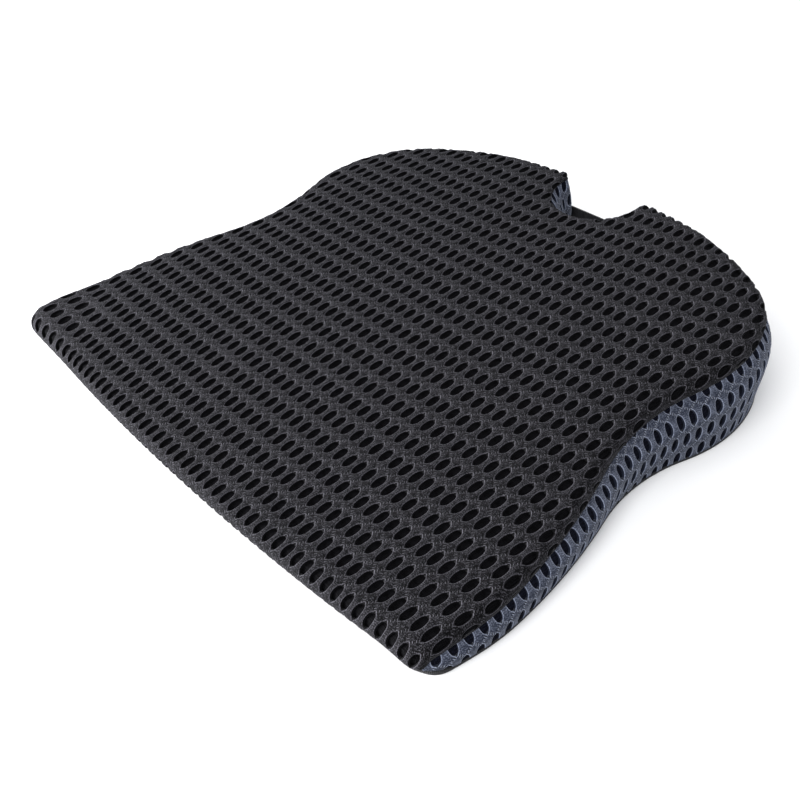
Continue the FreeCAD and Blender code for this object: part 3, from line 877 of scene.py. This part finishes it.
def ribbed_webbing(name, dark, light):
    """Strap webbing with fine ribs across it."""
    nodes = Nodes(name, 0.7)
    place = nodes.parts(nodes.place())
    rib = nodes.wave(nodes.times(place[0], TURN / RIB))
    yarn = nodes.wave(nodes.times(place[2], TURN / YARN))
    weave = nodes.add_to(nodes.times(rib, 0.5), nodes.times(rib, yarn), 0.4)
    nodes.colour(nodes.ramp(weave, -0.8, 0.9), dark, light)
    nodes.bump(weave, 0.0003)
    nodes.sheen(0.2, light, 0.4)
    return nodes.material


black_knit = mesh_knit("black_knit", (0.0006, 0.0006, 0.0009), (0.069, 0.067, 0.079), TOP_HOLES,
                       knit=0.75, speckle=0.35, sheen=0.08, sheen_colour=(0.5, 0.5, 0.56))
grey_knit = mesh_knit("grey_knit", (0.010, 0.013, 0.024), (0.285, 0.317, 0.416), BAND_HOLES,
                      knit=0.4, speckle=0.1, sheen=0.25, sheen_colour=(0.6, 0.63, 0.7))
# Both nets are painted far darker than their face fabrics: painted shade inside the holes.
shaded_black_net = fine_net("shaded_black_net", (0.0004, 0.0004, 0.0006), (0.0035, 0.0035, 0.0045))
shaded_navy_net = fine_net("shaded_navy_net", (0.001, 0.0012, 0.0025), (0.006, 0.007, 0.014))
bottom_cloth = woven_cloth("bottom_cloth", (0.004, 0.004, 0.005), (0.022, 0.022, 0.025), 0.0014)
tape_cloth = woven_cloth("tape_cloth", (0.004, 0.004, 0.005), (0.028, 0.028, 0.03), 0.0009)
liner_cloth = woven_cloth("liner_cloth", (0.35, 0.35, 0.34), (0.75, 0.75, 0.73), 0.0012)
grip_rubber = rubber("grip_rubber", (0.020, 0.020, 0.022))
thread = moulded_nylon("thread", (0.014, 0.014, 0.016))
coil_nylon = moulded_nylon("coil_nylon", (0.012, 0.012, 0.014))
zip_metal = dark_metal("zip_metal", (0.10, 0.10, 0.11), 0.38)
strap_cloth = ribbed_webbing("strap_cloth", (0.004, 0.004, 0.005), (0.024, 0.024, 0.028))
foam = open_foam("foam", (0.28, 0.26, 0.22), (0.68, 0.64, 0.55))


def fit_piece(piece, finish, body="cushion", replaces=()):
    """Give a piece its material and slot, let it ride on a body and stand for CAD nodes."""
    piece.data.materials.append(finish)
    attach(piece, body)
    if replaces:
        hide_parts(*replaces)
    return piece


# ------------------------ cover

# The fabric is laid out past every edge of its panel, then cut: first and end column, and row.
TOP_COLUMNS, TOP_ROWS = (-30, 32), (-13, 18)
BAND_COLUMNS, BAND_ROWS = (-3, int((SEAM_MIDDLE - BAND_FIRST_HOLE) / BAND_PITCH) + 2), (-2, 6)
TOP_NET_FINENESS, BAND_NET_FINENESS = 2, 4
TOP_CELL = ring_of_cell(*TOP_HOLES)
BAND_CELL = ring_of_cell(*BAND_HOLES)

top_face = fit_piece(holed_panel("top_panel_face", TOP_COLUMNS, TOP_ROWS, TOP_CELL, top_place),
                     black_knit, replaces=["top_panel"])
top_net = fit_piece(backing_panel("top_panel_net", TOP_COLUMNS, TOP_ROWS, top_place,
                                  TOP_NET_FINENESS),
                    shaded_black_net, replaces=["top_panel"])
for side, mirrored in (("right", False), ("left", True)):
    node = "gusset_" + side
    face = holed_panel(node + "_face", BAND_COLUMNS, BAND_ROWS, BAND_CELL, band_place, mirrored)
    net = backing_panel(node + "_net", BAND_COLUMNS, BAND_ROWS, band_place, BAND_NET_FINENESS,
                        mirrored)
    fit_piece(face, grey_knit, replaces=[node])
    fit_piece(net, shaded_navy_net, replaces=[node])


def tube_quads(rings, sides, closed=False):
    """Faces between rings of points that follow each other along a path."""
    ring = np.arange(rings if closed else rings - 1)[:, None]
    side = np.arange(sides)[None, :]
    after, beside = (ring + 1) % rings, (side + 1) % sides
    return np.stack([ring * sides + side, after * sides + side, after * sides + beside,
                     ring * sides + beside], -1).reshape(-1, 4)


def sweep(name, path, across, profile, closed=False, cover=True):
    """Sweep a closed profile of (across, up) pairs along a path of 3-D points."""
    path, across = np.asarray(path, float), np.asarray(across, float)
    rows = [path + across * out + np.array([0, 0, 1.0]) * up for out, up in profile]
    points = np.stack(rows, 1).reshape(-1, 3)
    return mesh_object(name, points, tube_quads(len(path), len(profile), closed), cover=cover)


def oval_profile(half_across, half_up, count=8, power=1.0):
    ca, sa = drawn_circle(full_turn(count), power)
    return list(zip(half_across * ca, half_up * sa))


def at_height(x, y, z):
    """Points at one height z, or at heights z."""
    return np.stack([x, y, np.broadcast_to(z, np.shape(x))], -1)


# The overlocked edges of the panels lie inside the cover along the top seam.
ALLOWANCE_INSET = 2.9    # inside the seam
ALLOWANCE_HALF_WIDTH = 2.2
ALLOWANCE_HALF_HEIGHT = 1.1
ALLOWANCE_FLOOR = 0.8    # they stay this far above the floor
OUTLINE_POINTS = 900
seam_s = np.linspace(0, SEAM.length, OUTLINE_POINTS, endpoint=False)
seam_x, seam_y, seam_heading = SEAM.at(seam_s)
seam_out = outward(seam_heading)
seam_z = np.maximum(seam_height(seam_s), ALLOWANCE_HALF_HEIGHT + ALLOWANCE_FLOOR)
allowance = sweep("top_seam_allowance",
                  at_height(seam_x, seam_y, seam_z) - ALLOWANCE_INSET * seam_out, seam_out,
                  oval_profile(ALLOWANCE_HALF_WIDTH, ALLOWANCE_HALF_HEIGHT), closed=True)
fit_piece(allowance, bottom_cloth)

# ------------------------ underside

HEM_RADIUS = 0.9
SHEET_FLOOR = 0.4        # the cloth lies just above the floor, on its grip dots
SHEET_THICKNESS = 0.9
SLOT_HALF_LENGTH = 178.0
SLOT_HALF_WIDTH = 10.0
FACING_TOP = 5.7         # the edges of the slot are turned up to the zipper tapes
SHEET_SPACING = 6.2      # of the grid lines, and finer near the notch and the slot
SHEET_SPACING_FRONT = 6.1
SHEET_SPACING_REAR = 3.1
SHEET_SPACING_SLOT = 5
SHEET_REAR = 208         # the rear half's grid ends here


def bottom_panel(name, ys, slot_side):
    """One half of the underside. ys are its grid lines, from the zipper outwards."""
    beside_slot = spread(SLOT_HALF_LENGTH, PLAN_HALF_WIDTH, SHEET_SPACING)
    over_slot = spread(-SLOT_HALF_LENGTH, SLOT_HALF_LENGTH, SHEET_SPACING)
    xs = np.concatenate([-beside_slot[:0:-1], over_slot, beside_slot[1:]])
    gx, gy = (grid.ravel() for grid in np.meshgrid(xs, ys))
    inside, along, heading = FOOT.locate(gx, gy)
    inside = inside - tuck(along)
    points = at_height(gx, gy, SHEET_FLOOR + SHEET_THICKNESS)
    points = points + outward(heading) * np.minimum(inside, 0)[:, None]
    quads = grid_quads(len(xs), len(ys))
    middle = np.stack([gx, gy], -1)[quads].mean(1)
    in_slot = ((abs(middle[:, 0]) < SLOT_HALF_LENGTH)
               & (abs(middle[:, 1] - ZIP_MIDDLE) < SLOT_HALF_WIDTH))
    quads = quads[~in_slot & ~(inside[quads] < 0).all(1)]
    if slot_side < 0:
        quads = quads[:, ::-1]
    lip_x = np.concatenate([over_slot[:1], over_slot, over_slot[-1:]])
    lip_y = np.full(lip_x.size, ZIP_MIDDLE + slot_side * SLOT_HALF_WIDTH)
    lip_y[[0, -1]] = ZIP_MIDDLE
    lip = [at_height(lip_x, lip_y, z) for z in (SHEET_FLOOR + SHEET_THICKNESS, FACING_TOP)]
    walls = len(points) + grid_quads(len(lip_x), 2)
    piece = mesh_object(name, np.concatenate([points] + lip), np.concatenate([quads, walls]))
    thick = piece.modifiers.new("thickness", "SOLIDIFY")
    thick.thickness = SHEET_THICKNESS * MM
    thick.offset = 0
    return piece


SLOT_FRONT, SLOT_REAR = ZIP_MIDDLE - SLOT_HALF_WIDTH, ZIP_MIDDLE + SLOT_HALF_WIDTH
front_lines = np.concatenate([
    spread(ZIP_MIDDLE, SLOT_FRONT, -SHEET_SPACING_SLOT),
    spread(SLOT_FRONT, -PLAN_HALF_DEPTH, -SHEET_SPACING_FRONT)[1:]])
rear_lines = np.concatenate([
    spread(ZIP_MIDDLE, SLOT_REAR, SHEET_SPACING_SLOT),
    spread(SLOT_REAR, SHEET_REAR, SHEET_SPACING_REAR)[1:]])
for label, lines, side in (("front", front_lines, -1), ("rear", rear_lines, 1)):
    sheet = bottom_panel("bottom_panel_%s_cloth" % label, lines, side)
    fit_piece(sheet, bottom_cloth, replaces=["bottom_panel_" + label])

hem_s = np.linspace(0, FOOT.length, OUTLINE_POINTS, endpoint=False)
hem_x, hem_y, hem_heading = FOOT.at(hem_s)
hem_out = outward(hem_heading)
hem_path = at_height(hem_x, hem_y, HEM_RADIUS) - tuck(hem_s)[:, None] * hem_out
hem = sweep("bottom_hem", hem_path, hem_out, oval_profile(HEM_RADIUS, HEM_RADIUS), closed=True)
fit_piece(hem, bottom_cloth)

DOT_SPACING = 9.0
DOT_RADIUS = 1.35
DOT_SIDES = 8
DOT_ROWS = np.arange(-24, 25)
DOT_COLUMNS = np.arange(-26, 27)
DOT_MARGIN = 9           # the dots keep clear of the outline, and of the zipper's slot
DOT_SLOT_MARGIN = 7
DOT_SLOT_END_MARGIN = 8
DOT_RINGS = [(DOT_RADIUS, SHEET_FLOOR + 0.3), (DOT_RADIUS * 0.85, 0.1), (DOT_RADIUS * 0.4, 0.0)]


def grip_dots():
    """Rubber dots in staggered rows over the underside."""
    xs = np.concatenate([(DOT_COLUMNS + 0.5 * (row % 2)) * DOT_SPACING for row in DOT_ROWS])
    ys = np.repeat(DOT_ROWS * DOT_SPACING * math.sqrt(3) / 2, len(DOT_COLUMNS))
    inside = FOOT.locate(xs, ys)[0] > DOT_MARGIN
    near_zip = ((abs(ys - ZIP_MIDDLE) < SLOT_HALF_WIDTH + DOT_SLOT_MARGIN)
                & (abs(xs) < SLOT_HALF_LENGTH + DOT_SLOT_END_MARGIN))
    xs, ys = xs[inside & ~near_zip], ys[inside & ~near_zip]
    ca, sa = drawn_circle(full_turn(DOT_SIDES), 1)
    shape = np.concatenate([at_height(radius * ca, radius * sa, z) for radius, z in DOT_RINGS])
    points = shape[None] + at_height(xs, ys, 0)[:, None]
    tip = (len(DOT_RINGS) - 1) * DOT_SIDES
    tips = [(tip + k + 3, tip + k + 2, tip + k + 1, tip) for k in (0, 2, 4)]
    faces = np.concatenate([tube_quads(len(DOT_RINGS), DOT_SIDES)[:, [3, 0, 1, 2]], tips])
    quads = faces[None] + (np.arange(len(xs)) * len(shape))[:, None, None]
    return mesh_object("grip_dots", points.reshape(-1, 3), quads.reshape(-1, 4))


fit_piece(grip_dots(), grip_rubber)


def walked(path):
    """Distance walked along a path at each of its points."""
    return np.concatenate([[0], np.cumsum(np.linalg.norm(np.diff(path, axis=0), axis=1))])


def unit(vectors):
    return vectors / np.linalg.norm(vectors, axis=1, keepdims=True)


def along_path(at, walk, path):
    """The places at given distances along a path, where walk is its distance at each point."""
    return np.stack([np.interp(at, walk, line) for line in path.T], -1)


STITCH_SIDES = 6
# Places along one stitch, and its thickness there.
STITCH_SHARES = np.array([0.0, 0.12, 0.5, 0.88, 1.0])
STITCH_FATNESS = np.array([0.35, 0.85, 1.0, 0.85, 0.35])
STITCH_GAP = 0.1         # before and after each stitch, as a share of its length
STITCH_UPRIGHT = 0.3     # steeper stitches are turned about another axis


def stitches(name, path, length, radius, cover=True):
    """Short rounded stitches laid head to tail along a path of 3-D points."""
    path = np.asarray(path, float)
    walk = walked(path)
    count = int(walk[-1] / length)
    begin = (np.arange(count) + STITCH_GAP) * walk[-1] / count
    at = begin[:, None] + STITCH_SHARES[None, :] * (1 - 2 * STITCH_GAP) * walk[-1] / count
    centre = along_path(at, walk, path)
    ahead = unit(centre[:, -1] - centre[:, 0])
    beside = np.cross(ahead, [0, 0, 1.0])
    upright = np.linalg.norm(beside, axis=1) < STITCH_UPRIGHT
    beside[upright] = np.cross(ahead[upright], [0, 1.0, 0])
    beside = unit(beside)
    above = np.cross(beside, ahead)
    ca, sa = drawn_circle(full_turn(STITCH_SIDES), 1)
    ring = (ca[None, None, :, None] * beside[:, None, None, :]
            + sa[None, None, :, None] * above[:, None, None, :])
    cloud = centre[:, :, None, :] + radius * STITCH_FATNESS[None, :, None, None] * ring
    rings = len(STITCH_SHARES)
    last = (rings - 1) * STITCH_SIDES
    ends = [(3, 2, 1, 0), (5, 4, 3, 0), (last, last + 1, last + 2, last + 3),
            (last, last + 3, last + 4, last + 5)]
    quads = np.concatenate([tube_quads(rings, STITCH_SIDES)[:, [0, 3, 2, 1]], ends])
    faces = quads[None] + (np.arange(count) * rings * STITCH_SIDES)[:, None, None]
    return mesh_object(name, cloud.reshape(-1, 3), faces.reshape(-1, 4), cover=cover)


STITCH_INSET = 5.0
STITCH_RADIUS = 0.35
HEM_STITCH = 3.4         # length of one stitch
ZIP_STITCH = 3.0
ZIP_STITCH_RADIUS = 0.33
ZIP_STITCH_INSET = 2.5   # from the edge of the slot
STRAP_STITCH = 2.4
under_stitch = hem_path - STITCH_INSET * hem_out
under_stitch[:, 2] = SHEET_FLOOR
under_stitch = np.vstack([under_stitch, under_stitch[:1]])
fit_piece(stitches("bottom_stitching", under_stitch, HEM_STITCH, STITCH_RADIUS),
          thread)
for label, side in (("front", -1), ("rear", 1)):
    y = ZIP_MIDDLE + side * (SLOT_HALF_WIDTH + ZIP_STITCH_INSET)
    line = [(-SLOT_HALF_LENGTH, y, SHEET_FLOOR), (SLOT_HALF_LENGTH, y, SHEET_FLOOR)]
    fit_piece(stitches("zipper_stitching_" + label, line, ZIP_STITCH, ZIP_STITCH_RADIUS), thread)

# ------------------------ zipper

COIL_PITCH = 1.5
COIL_SIDES = 5           # of the filament
COIL_POINTS = 12         # points of one turn
COIL_WIRE = 0.33         # radius of the filament
COIL_OVERLAP = 0.35      # how far past its CAD node a coil reaches, into the other one
COIL_ROUNDNESS = 0.6


def zipper_coil(name, node, side):
    """A nylon filament wound along one tape, with its turns reaching to the middle."""
    low, high = (np.array(corner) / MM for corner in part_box(node))
    middle, half = (low + high) / 2, (high - low) / 2 - COIL_WIRE
    middle[1] -= side * COIL_OVERLAP
    half[1] += COIL_OVERLAP
    turns = int((high[0] - low[0]) / COIL_PITCH)
    angle = TURN * np.arange(turns * COIL_POINTS) / COIL_POINTS
    ca, sa = drawn_circle(angle, COIL_ROUNDNESS)
    path = np.stack([low[0] + COIL_WIRE + 2 * half[0] * angle / angle[-1],
                     middle[1] + half[1] * ca, middle[2] + half[2] * sa], -1)
    ahead = unit(np.gradient(path, axis=0))
    beside = unit(np.cross(ahead, [1.0, 0, 0]))
    above = np.cross(beside, ahead)
    ca, sa = drawn_circle(full_turn(COIL_SIDES), 1)
    points = path[:, None] + COIL_WIRE * (ca[None, :, None] * beside[:, None]
                                          + sa[None, :, None] * above[:, None])
    quads = tube_quads(len(path), COIL_SIDES)[:, [0, 3, 2, 1]]
    piece = mesh_object(name, points.reshape(-1, 3), quads, cover=False)
    return fit_piece(piece, coil_nylon, replaces=[node])


for label, side in (("front", -1), ("rear", 1)):
    zipper_coil("zipper_coil_%s_turns" % label, "zipper_coil_" + label, side)

# Beyond the stops a tack closes the gap between the two tapes.
TACK_HALF_WIDTH = 2.2
TACK_HALF_HEIGHT = 0.5
tape_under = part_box("zipper_tape_front")[0][2] / MM
stops_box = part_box("zipper_stops")
for side_name, stop_end, slot_end in (("left", stops_box[0][0] / MM, -SLOT_HALF_LENGTH),
                                      ("right", stops_box[1][0] / MM, SLOT_HALF_LENGTH)):
    tack_line = [(stop_end, ZIP_MIDDLE, tape_under), (slot_end, ZIP_MIDDLE, tape_under)]
    tack = sweep("zipper_tack_" + side_name, tack_line, (0.0, 1.0, 0.0),
                 oval_profile(TACK_HALF_WIDTH, TACK_HALF_HEIGHT), cover=False)
    fit_piece(tack, tape_cloth)

# The tapes and the metal parts keep their CAD shapes, and get a material.
CAD_FINISHES = [("zipper_tape_front", tape_cloth), ("zipper_tape_rear", tape_cloth),
                ("zipper_stops", zip_metal), ("zipper_slider", zip_metal),
                ("zipper_pull", zip_metal)]
for node, finish in CAD_FINISHES:
    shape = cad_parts[node].data
    shape.materials.clear()
    shape.materials.append(finish)

# ------------------------ strap across the notch

STRAP_GAP = 0.2          # between the strap and the lobes
STRAP_THICKNESS = 1.6
STRAP_EDGES = 0.35       # the lower, the squarer the section
STRAP_SECTION_POINTS = 28
STRAP_ALONG_LOBE = 60    # the strap is looked for on this length of the outline
STRAP_END_GAP = 0.4      # it ends this far short of its CAD node
STRAP_LOBE_POINTS = 40
STRAP_SPAN_POINTS = 30
LIP_ARC = 7              # the arc of the outline with which the notch begins
strap_low, strap_high = (np.array(corner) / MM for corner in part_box("rear_strap"))
strap_height = strap_high[2] - strap_low[2]
lobe_end = FOOT.starts[LIP_ARC]
lobe = np.stack(FOOT.at(np.linspace(lobe_end - STRAP_ALONG_LOBE, lobe_end, STRAP_LOBE_POINTS)))
lobe_x, lobe_y, lobe_heading = lobe[:, lobe[0] <= strap_high[0] - STRAP_END_GAP]
span_x = np.linspace(lobe_x[-1], -lobe_x[-1], STRAP_SPAN_POINTS)[1:-1]
strap_x = np.concatenate([lobe_x, span_x, -lobe_x[::-1]])
strap_y = np.concatenate([lobe_y, np.full(span_x.size, lobe_y[-1]), lobe_y[::-1]])
strap_out = outward(np.concatenate([lobe_heading, np.full(span_x.size, math.pi),
                                    TURN - lobe_heading[::-1]]))
strap_path = at_height(strap_x, strap_y, (strap_low[2] + strap_high[2]) / 2)
strap_path = strap_path + (STRAP_GAP + STRAP_THICKNESS / 2) * strap_out
strap_profile = oval_profile(STRAP_THICKNESS / 2, strap_height / 2, STRAP_SECTION_POINTS,
                             STRAP_EDGES)
strap = sweep("rear_strap_webbing", strap_path, strap_out, strap_profile, cover=False)
fit_piece(strap, strap_cloth, replaces=["rear_strap"])

# A sewn box with a cross fixes each end of the strap to its lobe.
BOX_LENGTH = 18.0
BOX_MARGIN = 3.5         # from the strap's lower and upper edge
BOX_FROM_END = 4.0
BOX_PROUD = 0.05         # the stitches lie this far off the webbing
BOX_SIDE_POINTS = 12
face_path = strap_path + (STRAP_THICKNESS / 2 + BOX_PROUD) * strap_out
face_walk = walked(face_path)
box_low, box_high = BOX_MARGIN, strap_height - BOX_MARGIN
BOX_CORNERS = [(0, box_low), (1, box_low), (1, box_high), (0, box_high), (0, box_low),
               (1, box_high)]


def box_side(start, a, b):
    """One side of the sewn box from corner a to corner b, on the strap's outer face."""
    share = np.linspace(0, 1, BOX_SIDE_POINTS)
    along = start + BOX_LENGTH * (a[0] + (b[0] - a[0]) * share)
    side = along_path(along, face_walk, face_path)
    side[:, 2] = strap_low[2] + a[1] + (b[1] - a[1]) * share
    return side


for label, start in (("right", BOX_FROM_END),
                     ("left", face_walk[-1] - BOX_FROM_END - BOX_LENGTH)):
    line = np.concatenate([box_side(start, a, b)
                           for a, b in zip(BOX_CORNERS[:-1], BOX_CORNERS[1:])])
    seam = stitches("strap_stitching_" + label, line, STRAP_STITCH, STITCH_RADIUS, cover=False)
    fit_piece(seam, thread)

# ------------------------ liner and foam

LINER_DEPTH = 4.6        # inside the seam
LINER_FLOOR = 2.2
FOAM_DEPTH = 5.4
FOAM_FLOOR = 3.0
fit_piece(core_solid("inner_liner_cloth", LINER_DEPTH, LINER_FLOOR), liner_cloth,
          replaces=["inner_liner"])
foam_piece = fit_piece(core_solid("foam_core_wedge", FOAM_DEPTH, FOAM_FLOOR), foam,
                       replaces=["foam_core"])

# ------------------------ floor, light and camera

FLOOR_REACH = 8          # in metres
FLOOR_CORNERS = [(-1, -1), (1, -1), (1, 1), (-1, 1)]
paper = Nodes("paper", 0.95)
paper.colour(paper.noise(3.0, 2.0), (0.94, 0.94, 0.94), (0.96, 0.96, 0.96))
floor_mesh = bpy.data.meshes.new("floor")
floor_mesh.from_pydata([(FLOOR_REACH * x, FLOOR_REACH * y, 0) for x, y in FLOOR_CORNERS], [],
                       [(0, 1, 2, 3)])
floor_mesh.materials.append(paper.material)
floor = add_object("floor", floor_mesh)

world = bpy.data.worlds.new("studio")
bpy.context.scene.world = world
world.use_nodes = True
sky = world.node_tree.nodes["Background"]
sky.inputs["Color"].default_value = (0.97, 0.98, 1.0, 1)
sky.inputs["Strength"].default_value = 1.04


def area_light(name, place, size, power):
    """A soft square light aimed at the middle of the cushion."""
    data = bpy.data.lights.new(name, "AREA")
    data.size = size
    data.energy = power
    lamp = add_object(name, data)
    lamp.location = place
    lamp.rotation_euler = (-Vector(place)).to_track_quat("-Z", "Y").to_euler()


area_light("key", (0.35, -0.9, 1.2), 0.8, 9)
area_light("front_fill", (-0.75, -1.35, 0.10), 0.6, 125)

CAMERA_PLACE = Vector((0.4864, -0.4166, 0.4346))
VIEW = Vector((-0.625, 0.507, -0.593)).normalized()
VIEW_RIGHT = Vector((0.6513, 0.7579, -0.038))
camera_data = bpy.data.cameras.new("camera")
camera_data.sensor_width = 36
camera_data.lens = 48.2
camera = add_object("camera", camera_data)
right = (VIEW_RIGHT - VIEW * VIEW_RIGHT.dot(VIEW)).normalized()
turn = Matrix((right, right.cross(VIEW), -VIEW)).transposed().to_4x4()
camera.matrix_world = Matrix.Translation(CAMERA_PLACE) @ turn
bpy.context.scene.camera = camera
bpy.context.scene.view_settings.view_transform = "Standard"
